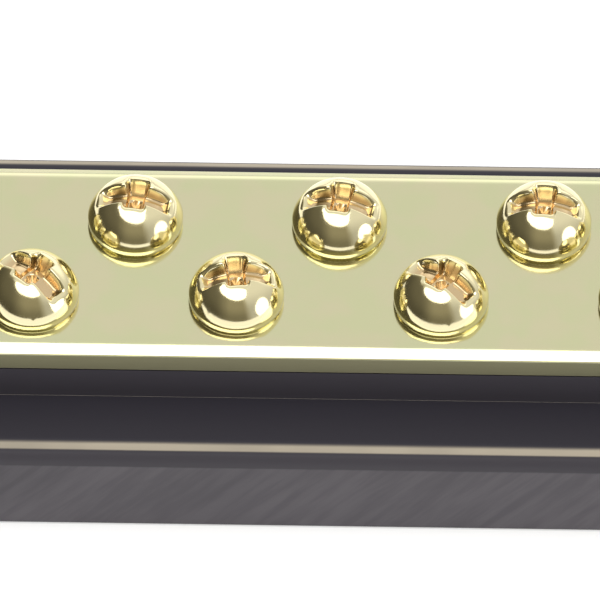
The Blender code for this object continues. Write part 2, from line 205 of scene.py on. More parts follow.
class BusBarFinish(bpy.types.PropertyGroup):
    """Colours and gloss."""

    plastic: colour("Plastic", (0.033, 0.030, 0.040), "Moulded base")
    # Painted light: the plinth's sides are painted lighter than the plain plastic, standing in for
    # light on them
    plinth: colour("Plinth sides", (0.072, 0.066, 0.082), "Sides of the plinth under the bar")
    # Lighter grey of the body's sides, with slanted streaks
    plastic_side_grey: colour("Rubbed plastic", (0.150, 0.140, 0.158), "Rubbed sides of the base")
    # Painted highlight: the pale colour of a line along the base's rounded top edge, and below it
    # the upward part of the direction at which that line is painted
    plastic_edge_highlight: colour("Plastic edge", (0.480, 0.420, 0.330), "Worn top edge of the base")
    highlight_rise: share("Edge rise", 0.895, "Upward part of the worn edge's direction")
    plastic_gloss: share("Plastic roughness", 0.40, "Roughness of the clean plastic")
    bar: colour("Bar", (0.70, 0.70, 0.43), "Polished top of the bar")
    bar_warm: colour("Bar, warmer", (0.73, 0.69, 0.45), "Warmer patches of the bar")
    bar_side: colour("Bar side", (0.35, 0.335, 0.215), "Duller cut sides of the bar")
    bar_gloss: share("Bar roughness", 0.10, "Roughness of the polished bar")
    screw: colour("Screws", (0.88, 0.79, 0.49), "Polished screw heads")
    # Painted shade: a darker, redder tone for inside the driver recess
    screw_recess_shade: colour("Recess", (0.72, 0.54, 0.31), "Inside of the driver recess")
    screw_gloss: share("Screw roughness", 0.09, "Roughness of the screw heads")
    steel: colour("Steel", (0.60, 0.60, 0.58), "Lock washers")
    insert: colour("Inserts", (0.72, 0.58, 0.30), "Threaded inserts")


class BusBarStage(bpy.types.PropertyGroup):
    """Camera, floor and lights."""

    elevation: angle("Elevation", 50.8, "Camera's angle above the horizon")
    roll: angle("Roll", 0.82, "Camera's roll")
    lens: bpy.props.FloatProperty(
        name="Lens", description="Focal length", default=1200.0, unit="CAMERA"
    )
    view_width: length("View width", 50.4, "Width that the frame takes in at the bar's top")
    aim_x: length("Aim X", 1.05, "Frame's middle, right of the bar's middle")
    aim_y: length("Aim Y", 4.2, "Frame's middle, in front of the bar's middle")
    room: share("Room", 0.86, "Brightness of the room", 2.0)
    sides: share("Sides", 0.52, "Brightness of the room at the object's sides", 2.0)
    dark: share("Dark side", 0.20, "Brightness of the room in front of the object", 2.0)
    dark_turn: angle("Dark turn", 62.0, "Turn of the dark side from the front to the left")
    overhead: share("Overhead lamp", 1.9, "Brightness of the lamp overhead", 100.0)
    side: share("Side lamp", 1.7, "Brightness of the lamp on the right", 100.0)
    floor: colour("Floor", (0.90, 0.90, 0.90), "Plain floor")
    floor_reach: length("Floor reach", 55.0, "Reach of the pale floor in front of the object")
    floor_lift: share("Floor lift", 0.35, "White added to the floor where it is seen or mirrored")


# Meshes


def to_object(name, bm):
    """A new object from a bmesh, with faces pointing outwards."""
    bmesh.ops.recalc_face_normals(bm, faces=bm.faces)
    mesh = bpy.data.meshes.new(name)
    bm.to_mesh(mesh)
    bm.free()
    obj = bpy.data.objects.new(name, mesh)
    bpy.context.scene.collection.objects.link(obj)
    return obj


def shade(obj, sharp_angle=SHARP_ANGLE):
    """Shades an object smooth, up to its sharp edges."""
    obj.data.shade_smooth()
    obj.data.set_sharp_from_angle(angle=sharp_angle)


def settle(obj):
    """Turns an object's modifiers into plain mesh, and removes them."""
    graph = bpy.context.evaluated_depsgraph_get()
    mesh = bpy.data.meshes.new_from_object(obj.evaluated_get(graph))
    obj.modifiers.clear()
    obj.data = mesh
    mesh.name = obj.name


def combine(obj, operation, bm):
    """Adds a shape to an object or cuts it from it."""
    helper = to_object(obj.name + "_helper", bm)
    modifier = obj.modifiers.new("combine", "BOOLEAN")
    modifier.operation = operation
    modifier.solver = "EXACT"
    modifier.object = helper
    settle(obj)
    bpy.data.objects.remove(helper)
    if not obj.data.polygons:
        raise RuntimeError(f"{obj.name} came out empty")


def smooth(obj):
    """Shades curved faces smooth and keeps flat ones flat right up to their edges."""
    shade(obj)
    modifier = obj.modifiers.new("even_shading", "WEIGHTED_NORMAL")
    modifier.keep_sharp = True
    modifier.weight = 100
    settle(obj)


def place(obj, material, nodes):
    """Hands a finished piece over to the frame."""
    obj.data.materials.clear()
    obj.data.materials.append(material)
    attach(obj, BODY)
    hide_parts(*nodes)


def rounded_rectangle(half_x, half_y, radius):
    """Outline of a rectangle with round corners, anticlockwise."""
    points = []
    for corner in range(4):
        centre_x = (half_x - radius) * (1 if corner in (0, 3) else -1)
        centre_y = (half_y - radius) * (1 if corner in (0, 1) else -1)
        for step in range(CORNER_STEPS + 1):
            turn = (corner + step / CORNER_STEPS) * math.pi / 2
            x, y = radius * math.cos(turn), radius * math.sin(turn)
            points.append((centre_x + x, centre_y + y))
    return points


def round_over(radius, top_z):
    """Levels of (inset, z) up a quarter-round edge to the top face."""
    return [(radius * (1 - math.cos(t)), top_z - radius * (1 - math.sin(t))) for t in EDGE_TURNS]


def round_under(radius, foot_z):
    """Levels of (inset, z) from the foot face up a quarter-round edge to the side."""
    return [(radius * (1 - math.sin(t)), foot_z + radius * (1 - math.cos(t))) for t in EDGE_TURNS]


def soft_path(points, radius):
    """A path whose inner corners are cut by short curves, as levels of (inset, z)."""
    path = [Vector(p) for p in points]
    levels = [path[0]]
    for before, corner, after in zip(path, path[1:], path[2:]):
        room = min((corner - before).length, (after - corner).length)
        reach = min(radius, room * SOFT_SHARE)
        start = corner + (before - corner).normalized() * reach
        end = corner + (after - corner).normalized() * reach
        for i in range(EDGE_STEPS + 1):
            part = i / EDGE_STEPS
            levels.append(start.lerp(corner, part).lerp(corner.lerp(end, part), part))
    return [tuple(p) for p in (*levels, path[-1])]


def bridge(bm, first, second):
    """Faces between two rings of as many vertices."""
    for k in range(len(first)):
        j = (k + 1) % len(first)
        bm.faces.new((first[k], first[j], second[j], second[k]))


def add_ring(bm, radii, z, turns):
    """A ring of vertices about Z, with a radius for each turn."""
    return [
        bm.verts.new((radius * math.cos(turn), radius * math.sin(turn), z))
        for radius, turn in zip(radii, turns)
    ]


def add_block(bm, half_x, half_y, corner, levels):
    """A block with round corners, lofted through levels of (inset, z) from its foot to its top."""
    loops = []
    for inset, z in levels:
        outline = rounded_rectangle(half_x - inset, half_y - inset, max(corner - inset, MERGE))
        loops.append([bm.verts.new((x, y, z)) for x, y in outline])
    for lower, upper in zip(loops, loops[1:]):
        bridge(bm, lower, upper)
    bm.faces.new(reversed(loops[0]))
    bm.faces.new(loops[-1])


def combine_cylinders(obj, operation, places):
    """Adds upright cylinders of (x, y, radius, foot_z, top_z) to an object or cuts them from it."""
    bm = bmesh.new()
    for x, y, radius, foot_z, top_z in places:
        bmesh.ops.create_cone(
            bm,
            cap_ends=True,
            segments=HOLE_SIDES,
            radius1=radius,
            radius2=radius,
            depth=top_z - foot_z,
            matrix=Matrix.Translation((x, y, (foot_z + top_z) / 2)),
        )
    combine(obj, operation, bm)


def add_prism(bm, points, push):
    """A closed prism: a flat outline of 3D points, pushed along a vector."""
    face = bm.faces.new([bm.verts.new(p) for p in points])
    far = bmesh.ops.extrude_face_region(bm, geom=[face])["geom"]
    bmesh.ops.translate(bm, vec=push, verts=[v for v in far if isinstance(v, bmesh.types.BMVert)])


def add_tube(bm, profile, sides):
    """A ring turned about Z from a closed profile of (radius, z)."""
    turns = [FULL_TURN * k / sides for k in range(sides)]
    rings = [add_ring(bm, [radius] * sides, z, turns) for radius, z in profile]
    for first, second in zip(rings, rings[1:] + rings[:1]):
        bridge(bm, first, second)


def smooth_step(low, high, value):
    """0 below low and 1 above high, with a soft change between them."""
    part = min(max((value - low) / (high - low), 0.0), 1.0)
    return part * part * (3 - 2 * part)


class Head:
    """The form of a screw's head: a dome on a short rim, with a slot and a cross recess."""

    def __init__(self, sizes):
        self.sizes = sizes
        self.radius = sizes.head_diameter / 2
        crown = sizes.head_height - sizes.head_rim
        self.ball = (self.radius**2 + crown**2) / (2 * crown)
        self.ball_z = sizes.head_height - self.ball
        self.spread = math.asin(min(self.radius / self.ball, 1.0))
        self.grid_half = self.radius * GRID_SHARE

    def dome(self, x, y):
        """Height of the dome."""
        return self.ball_z + math.sqrt(max(self.ball**2 - x * x - y * y, 0.0))

    def band(self, distance, width):
        """1 inside a band of that width, falling softly to 0 outside it."""
        edge = self.sizes.recess_edge
        return 1 - smooth_step(width / 2 - edge, width / 2 + edge, abs(distance))

    def cut(self, x, y):
        """Depth of the recess below the dome."""
        s = self.sizes
        fade = 1 - smooth_step(s.slot_reach - s.run_out, s.slot_reach, abs(x))
        slot = s.slot_depth * fade * self.band(y, s.slot_width)
        wing_end = (s.wing_reach - abs(y - s.wing_shift)) * s.wing_slope
        wing = min(s.wing_depth, wing_end) * self.band(x, s.wing_width)
        slope = s.core_depth / ((s.core_top - s.core_foot) / 2)
        core_depth = min(s.core_depth, (s.core_top / 2 - math.hypot(x, y)) * slope)
        core = self.dome(x, y) - (s.head_height - core_depth)
        return max(0.0, slot, wing, core)

    def lines(self):
        """Grid lines across the head, close together at the recess's walls."""
        wall = self.sizes.slot_width / 2
        near = [wall + self.sizes.recess_edge * k for k in WALL_LINES]
        room = self.grid_half - near[-1]
        far = [near[-1] + room * k / OUTER_LINES for k in range(1, OUTER_LINES + 1)]
        positive = near + far
        return [-v for v in reversed(positive)] + [0.0] + positive


def add_head(bm, head):
    """A screw's head without its seat: a grid over the recess, and patches from it to the rim."""
    lines = head.lines()
    recess = bm.verts.layers.float.new(RECESS_ATTRIBUTE)

    def point(x, y):
        depth = head.cut(x, y)
        vert = bm.verts.new((x, y, head.dome(x, y) - depth))
        vert[recess] = depth / head.sizes.core_depth
        return vert

    grid = [[point(x, y) for y in lines] for x in lines]
    for first, second in zip(grid, grid[1:]):
        for j in range(len(lines) - 1):
            bm.faces.new((first[j], second[j], second[j + 1], first[j + 1]))

    # Four patches run from the square's sides to the rim, along the grid's own lines
    for side in range(4):
        turn = Matrix.Rotation(side * math.pi / 2, 2)
        rows = []
        for y in lines:
            row = []
            first = math.asin(math.hypot(head.grid_half, y) / head.ball)
            for i in range(HEAD_RINGS + 1):
                radius = head.ball * math.sin(first + (head.spread - first) * i / HEAD_RINGS)
                if y in (lines[0], lines[-1]):
                    flat = Vector((head.grid_half, y)).normalized() * radius
                else:
                    flat = Vector((math.sqrt(radius**2 - y * y), y))
                flat = turn @ flat
                row.append(point(flat.x, flat.y))
            rows.append(row)
        for first, second in zip(rows, rows[1:]):
            for i in range(HEAD_RINGS):
                bm.faces.new((first[i], first[i + 1], second[i + 1], second[i]))
    bmesh.ops.remove_doubles(bm, verts=bm.verts, dist=WELD)

    rim = [v for v in bm.verts if math.hypot(v.co.x, v.co.y) > head.radius - RIM_NEAR]
    return sorted(rim, key=lambda v: math.atan2(v.co.y, v.co.x))


def screw_mesh(name, sizes, shank_length):
    """A detailed screw on its seat at z = 0, with its slot along X and a thread on its shank."""
    head = Head(sizes)
    bm = bmesh.new()
    rim = add_head(bm, head)
    turns = [math.atan2(v.co.y, v.co.x) for v in rim]
    count = len(rim)
    side_ring = add_ring(bm, [head.radius] * count, sizes.head_foot_edge, turns)
    foot_ring = add_ring(bm, [head.radius - sizes.head_foot_edge] * count, 0.0, turns)
    bridge(bm, rim, side_ring)
    bridge(bm, side_ring, foot_ring)

    turns = turns[::SHANK_STRIDE]
    major = sizes.shank_diameter / 2
    upper = add_ring(bm, [major] * len(turns), 0.0, turns)
    # The flat seat, from the head's many points to the shank's fewer
    for k in range(len(upper)):
        j = (k + 1) % len(upper)
        outer = [foot_ring[(k * SHANK_STRIDE + m) % count] for m in range(SHANK_STRIDE + 1)]
        bm.faces.new([*outer, upper[j], upper[k]])

    # The thread, then the chamfered tip
    levels = []
    end_z = sizes.tip_chamfer - shank_length
    z = -sizes.thread_neck
    while z > end_z:
        phases = [(z / sizes.thread_pitch + turn / FULL_TURN) % 1.0 for turn in turns]
        levels.append(([major - sizes.thread_depth * abs(2 * part - 1) for part in phases], z))
        z -= sizes.thread_pitch / THREAD_ROWS
    levels.append(([major - sizes.thread_depth] * len(turns), end_z))
    levels.append(([major - sizes.tip_chamfer * 2] * len(turns), -shank_length))
    for radii, z in levels:
        lower = add_ring(bm, radii, z, turns)
        bridge(bm, upper, lower)
        upper = lower
    bm.faces.new(list(reversed(upper)))

    screw = to_object(name, bm)
    shade(screw, SCREW_SHARP_ANGLE)
    return screw


# Node trees


class Nodes:
    """Short ways to add and link nodes in a tree."""

    def __init__(self, tree):
        self.tree = tree

    def add(self, kind, **values):
        """A new node, with some of its properties set."""
        node = self.tree.nodes.new(kind)
        for key, value in values.items():
            setattr(node, key, value)
        return node

    def feed(self, socket, value):
        """Links a socket, or sets its value."""
        if isinstance(value, bpy.types.NodeSocket):
            self.tree.links.new(value, socket)
        else:
            socket.default_value = value

    def maths(self, operation, *values, clamp=False):
        """The result of a Math node."""
        node = self.add("ShaderNodeMath", operation=operation, use_clamp=clamp)
        for socket, value in zip(node.inputs, values):
            self.feed(socket, value)
        return node.outputs[0]

    def times(self, first, second):
        """The product of two values."""
        return self.maths("MULTIPLY", first, second)

    def ramp(self, value, low, high, start=0.0, end=1.0):
        """Value, mapped smoothly from low..high to start..end."""
        node = self.add("ShaderNodeMapRange", interpolation_type="SMOOTHSTEP")
        for socket, given in zip(node.inputs[:5], (value, low, high, start, end)):
            self.feed(socket, given)
        return node.outputs[0]

    def mix(self, factor, first, second):
        """The first colour at factor 0, and the second at 1."""
        node = self.add("ShaderNodeMix", data_type="RGBA")
        self.feed(node.inputs["Factor"], factor)
        for socket, tone in zip(node.inputs[6:8], (first, second)):
            self.feed(socket, tone if isinstance(tone, bpy.types.NodeSocket) else (*tone, 1.0))
        return node.outputs[2]

    def split(self, vector):
        """The X, Y and Z of a vector."""
        node = self.add("ShaderNodeSeparateXYZ")
        self.feed(node.inputs[0], vector)
        return node.outputs

    def noise(self, vector, scale, detail=2.0, roughness=0.5):
        """Soft noise from 0 to 1."""
        node = self.add("ShaderNodeTexNoise")
        self.feed(node.inputs["Vector"], vector)
        self.feed(node.inputs["Scale"], scale)
        node.inputs["Detail"].default_value = detail
        node.inputs["Roughness"].default_value = roughness
        return node.outputs[0]


# Geometry Nodes


def row_tree():
    """A tree that sets copies of a piece in a line or a zigzag, each with its own turn."""
    tree = bpy.data.node_groups.new("zigzag_row", "GeometryNodeTree")
    sockets = {}
    for label, kind in (
        ("Geometry", "NodeSocketGeometry"),
        ("Piece", "NodeSocketObject"),
        ("Step", "NodeSocketFloat"),
        ("Row spacing", "NodeSocketFloat"),
        ("Seat height", "NodeSocketFloat"),
        ("Count", "NodeSocketInt"),
        ("Material", "NodeSocketMaterial"),
    ):
        sockets[label] = tree.interface.new_socket(name=label, in_out="INPUT", socket_type=kind)
    tree.interface.new_socket(name="Geometry", in_out="OUTPUT", socket_type="NodeSocketGeometry")
    made = Nodes(tree)
    given = made.add("NodeGroupInput").outputs

    # Where each copy stands: along the row by its number, and in its own row of two
    number = made.add("GeometryNodeInputIndex").outputs[0]
    last = made.maths("SUBTRACT", given["Count"], 1.0)
    from_middle = made.maths("SUBTRACT", number, made.times(last, 0.5))
    row = made.maths("SUBTRACT", 0.5, made.maths("MODULO", number, 2.0))
    where = made.add("ShaderNodeCombineXYZ")
    made.feed(where.inputs["X"], made.times(from_middle, given["Step"]))
    made.feed(where.inputs["Y"], made.times(row, given["Row spacing"]))
    made.feed(where.inputs["Z"], given["Seat height"])
    points = made.add("GeometryNodeSetPosition")
    made.feed(points.inputs["Geometry"], given["Geometry"])
    made.feed(points.inputs["Position"], where.outputs[0])

    turn = made.add("GeometryNodeInputNamedAttribute", data_type="FLOAT")
    turn.inputs["Name"].default_value = TURN_ATTRIBUTE
    spin = made.add("ShaderNodeCombineXYZ")
    made.feed(spin.inputs["Z"], turn.outputs["Attribute"])
    piece = made.add("GeometryNodeObjectInfo")
    made.feed(piece.inputs["Object"], given["Piece"])
    copies = made.add("GeometryNodeInstanceOnPoints")
    made.feed(copies.inputs["Points"], points.outputs["Geometry"])
    made.feed(copies.inputs["Instance"], piece.outputs["Geometry"])
    made.feed(copies.inputs["Rotation"], spin.outputs[0])
    real = made.add("GeometryNodeRealizeInstances")
    made.feed(real.inputs[0], copies.outputs[0])
    finish = made.add("GeometryNodeSetMaterial")
    made.feed(finish.inputs["Geometry"], real.outputs[0])
    made.feed(finish.inputs["Material"], given["Material"])
    made.feed(made.add("NodeGroupOutput").inputs[0], finish.outputs[0])
    return tree, {label: socket.identifier for label, socket in sockets.items()}


def set_in_rows(name, piece, turns, step, row_spacing, seat_z, material):
    """Copies of a piece set out by the tree, as one plain mesh."""
    tree, names = row_tree()
    mesh = bpy.data.meshes.new(name)
    mesh.from_pydata([(i * step, 0, 0) for i in range(len(turns))], [], [])
    attribute = mesh.attributes.new(TURN_ATTRIBUTE, "FLOAT", "POINT")
    attribute.data.foreach_set("value", [math.radians(t) for t in turns])
    obj = bpy.data.objects.new(name, mesh)
    bpy.context.scene.collection.objects.link(obj)
    modifier = obj.modifiers.new("rows", "NODES")
    modifier.node_group = tree
    values = {
        "Piece": piece,
        "Step": step,
        "Row spacing": row_spacing,
        "Seat height": seat_z,
        "Count": len(turns),
        "Material": material,
    }
    for label, value in values.items():
        modifier[names[label]] = value
    settle(obj)
    bpy.data.objects.remove(piece)
    if not obj.data.polygons:
        raise RuntimeError(f"{name} came out empty")
    return obj


# Materials

# Half the height over which the body's side tone gives way to the plinth's painted light
BODY_BLEND = 0.05 * MM

# Roughness of the bar's cut sides, and what rubbing, patches and lines add to a roughness
BAR_SIDE_ROUGHNESS = 0.55
DULL_ROUGHNESS = 0.16
PATCH_ROUGHNESS = 0.05
SCREW_PATCH_ROUGHNESS = 0.04

# Plain metals: the darker patches' part of the colour, and their roughness below and above it
PATCH_SHADE = 0.86
PATCH_SMOOTHER = 0.05
PATCH_ROUGHER = 0.08
STEEL_ROUGHNESS = 0.30
INSERT_ROUGHNESS = 0.34


def new_group(name, inputs, outputs):
    """An empty shader node group, with its sockets to link from and to."""
    tree = bpy.data.node_groups.new(name, "ShaderNodeTree")
    for label, kind, default in inputs:
        socket = tree.interface.new_socket(name=label, in_out="INPUT", socket_type=kind)
        if default is not None:
            socket.default_value = default
    for label, kind in outputs:
        tree.interface.new_socket(name=label, in_out="OUTPUT", socket_type=kind)
    made = Nodes(tree)
    return tree, made, made.add("NodeGroupInput").outputs, made.add("NodeGroupOutput").inputs


def use_group(made, name, build, values):
    """The outputs of a shared node group, which is built when a material first asks for it."""
    tree = bpy.data.node_groups.get(name) or build(name)
    node = made.add("ShaderNodeGroup", node_tree=tree)
    for socket, value in zip(node.inputs, values):
        made.feed(socket, value)
    return node.outputs


def hairlines_group(name):
    """Fine hairlines, drawn out along one direction, and a soft mottle, from object coordinates."""
    tree, made, given, result = new_group(
        name,
        [
            ("Vector", "NodeSocketVector", None),
            ("Stretch", "NodeSocketVector", (1.0, 1.0, 1.0)),
            ("Turn", "NodeSocketVector", (0.0, 0.0, 0.0)),
            ("Scale", "NodeSocketFloat", 1000.0),
            ("Patch scale", "NodeSocketFloat", 200.0),
        ],
        [("Lines", "NodeSocketFloat"), ("Patches", "NodeSocketFloat")],
    )
    mapping = made.add("ShaderNodeMapping", vector_type="TEXTURE")
    made.feed(mapping.inputs["Vector"], given["Vector"])
    made.feed(mapping.inputs["Rotation"], given["Turn"])
    made.feed(mapping.inputs["Scale"], given["Stretch"])
    lines = made.noise(mapping.outputs[0], given["Scale"], detail=3.0, roughness=0.6)
    made.feed(result["Lines"], lines)
    made.feed(result["Patches"], made.noise(given["Vector"], given["Patch scale"], detail=2.0))
    return tree


def hairlines(made, where, stretch, scale, patch_scale, turn=(0.0, 0.0, 0.0)):
    """Hairlines and patches at a material's own scales."""
    values = (where, stretch, turn, scale, patch_scale)
    return use_group(made, "hairlines", hairlines_group, values)


def facing_group(name):
    """Masks of the faces that look up and of those that look sideways."""
    tree, made, given, result = new_group(
        name,
        [("Low", "NodeSocketFloat", 0.3), ("High", "NodeSocketFloat", 0.8)],
        [("Up", "NodeSocketFloat"), ("Side", "NodeSocketFloat"), ("Rise", "NodeSocketFloat")],
    )
    normal_z = made.split(made.add("ShaderNodeNewGeometry").outputs["Normal"])[2]
    made.feed(result["Rise"], normal_z)
    upward = made.ramp(normal_z, given["Low"], given["High"])
    made.feed(result["Up"], upward)
    steep = made.ramp(made.maths("ABSOLUTE", normal_z), given["Low"], given["High"])
    made.feed(result["Side"], made.maths("SUBTRACT", 1.0, steep))
    return tree


def facing_masks(made, low, high):
    """Facing masks between two upward parts of a face's direction."""
    return use_group(made, "facing", facing_group, (low, high))


def start_material(name):
    """A new material, its nodes, its shader and its object coordinates."""
    material = bpy.data.materials.new(name)
    material.use_nodes = True
    made = Nodes(material.node_tree)
    shader = material.node_tree.nodes["Principled BSDF"]
    where = made.add("ShaderNodeTexCoord").outputs["Object"]
    return material, made, shader, where


def bump(made, shader, height, strength, distance):
    """Fine relief on a shader."""
    node = made.add("ShaderNodeBump")
    node.inputs["Strength"].default_value = strength
    node.inputs["Distance"].default_value = distance
    made.feed(node.inputs["Height"], height)
    made.feed(shader.inputs["Normal"], node.outputs[0])


def metal(made, shader, tone, roughness):
    """Makes a shader a metal of this colour and roughness."""
    made.feed(shader.inputs["Base Color"], tone)
    shader.inputs["Metallic"].default_value = 1.0
    made.feed(shader.inputs["Roughness"], roughness)


def plastic_material(finish, sizes):
    """Black moulded plastic: glossy on top, a lighter grey on its sides, painted light on the
    plinth's sides, and a painted highlight as a pale line along its rounded edge.
    """
    material, made, shader, where = start_material("black_plastic_detail")
    facing = facing_masks(made, low=0.03, high=0.20)
    slant = (0.0, math.radians(42), 0.0)
    marks = hairlines(made, where, (1.0, 1.0, 9.0), scale=900.0, patch_scale=110.0, turn=slant)
    lines, patches = marks["Lines"], marks["Patches"]

    # A lighter grey with slanted streaks on the body's sides, fading over its rounded edge
    body_top = sizes.body_height
    body = made.ramp(made.split(where)[2], body_top + BODY_BLEND, body_top - BODY_BLEND)
    side = made.times(facing["Side"], body)
    side_grey = made.times(side, made.ramp(lines, low=0.30, high=0.70, start=0.72, end=1.0))
    side_grey = made.times(side_grey, made.ramp(patches, low=0.25, high=0.75, start=0.85, end=1.05))
    rounding = made.ramp(facing["Rise"], low=0.70, high=0.86, start=0.30, end=0.0)
    side_grey = made.maths("MAXIMUM", side_grey, made.times(rounding, body))

    # Painted highlight: a pale line where the rounded edge turns to the finish's highlight rise,
    # where it would mirror the overhead lamp
    slope = made.maths("ABSOLUTE", made.maths("SUBTRACT", facing["Rise"], finish.highlight_rise))
    painted_highlight = made.times(made.ramp(slope, low=0.045, high=0.10, start=1.0, end=0.0), body)
    painted_highlight = made.times(painted_highlight, made.ramp(patches, low=0.2, high=0.8, start=0.8, end=1.1))

    # Painted light: the plinth's sides, painted lighter than the plain plastic
    plinth = made.times(facing["Side"], made.maths("SUBTRACT", 1.0, body))
    tone = made.mix(side_grey, finish.plastic, finish.plastic_side_grey)
    tone = made.mix(plinth, tone, finish.plinth)
    # Painted highlight: the pale line on the rounded edge
    tone = made.mix(painted_highlight, tone, finish.plastic_edge_highlight)
    made.feed(shader.inputs["Base Color"], tone)
    # Rougher on the sides and along the painted highlight's line
    dull = made.maths("ADD", side, painted_highlight, clamp=True)
    rough = made.maths("MULTIPLY_ADD", dull, DULL_ROUGHNESS, finish.plastic_gloss)
    rough = made.maths("MULTIPLY_ADD", patches, PATCH_ROUGHNESS, rough)
    made.feed(shader.inputs["Roughness"], rough)
    bump(made, shader, made.noise(where, scale=5200.0), strength=0.10, distance=0.02 * MM)
    shader.inputs["Specular IOR Level"].default_value = 0.25
    return material


def bar_material(finish):
    """Pale rolled brass: polished on top with fine hairlines, duller and darker on its sides."""
    material, made, shader, where = start_material("bar_brass_detail")
    facing = facing_masks(made, low=0.02, high=0.30)
    marks = hairlines(made, where, (40.0, 1.0, 1.0), scale=9000.0, patch_scale=260.0)
    warm = made.ramp(marks["Patches"], low=0.35, high=0.65)
    tone = made.mix(facing["Up"], finish.bar_side, made.mix(warm, finish.bar, finish.bar_warm))
    rough = made.ramp(facing["Up"], 0.0, 1.0, BAR_SIDE_ROUGHNESS, finish.bar_gloss)
    lines = made.ramp(marks["Lines"], low=0.3, high=0.7)
    metal(made, shader, tone, made.maths("MULTIPLY_ADD", lines, PATCH_ROUGHNESS, rough))
    bump(made, shader, marks["Lines"], strength=0.05, distance=0.01 * MM)
    return material


def screw_material(finish):
    """Bright golden brass, with painted shade down in the driver recess: darker and redder there,
    and rougher.
    """
    material, made, shader, where = start_material("screw_brass_detail")
    depth = made.add("ShaderNodeAttribute", attribute_name=RECESS_ATTRIBUTE).outputs["Fac"]
    # Painted shade, deepening with the recess's depth
    recess_shade = made.ramp(depth, low=0.05, high=0.45)
    tone = made.mix(recess_shade, finish.screw, finish.screw_recess_shade)
    marks = hairlines(made, where, (1.0, 1.0, 3.0), scale=2600.0, patch_scale=420.0)
    recess_gloss = finish.screw_gloss + PATCH_ROUGHNESS
    rough = made.ramp(recess_shade, 0.0, 1.0, finish.screw_gloss, recess_gloss)
    patches = made.ramp(marks["Patches"], low=0.35, high=0.7)
    metal(made, shader, tone, made.maths("MULTIPLY_ADD", patches, SCREW_PATCH_ROUGHNESS, rough))
    bump(made, shader, marks["Lines"], strength=0.04, distance=0.02 * MM)
    return material


def plain_metal_material(name, tone, roughness):
    """A turned or pressed metal with faint patches."""
    material, made, shader, where = start_material(name)
    patches = made.noise(where, scale=900.0, detail=3.0)
    darker = [part * PATCH_SHADE for part in tone]
    spread = made.ramp(patches, low=0.3, high=0.7)
    rough = made.ramp(patches, 0.2, 0.8, roughness - PATCH_SMOOTHER, roughness + PATCH_ROUGHER)
    metal(made, shader, made.mix(spread, darker, tone), rough)
    return material


# Operators


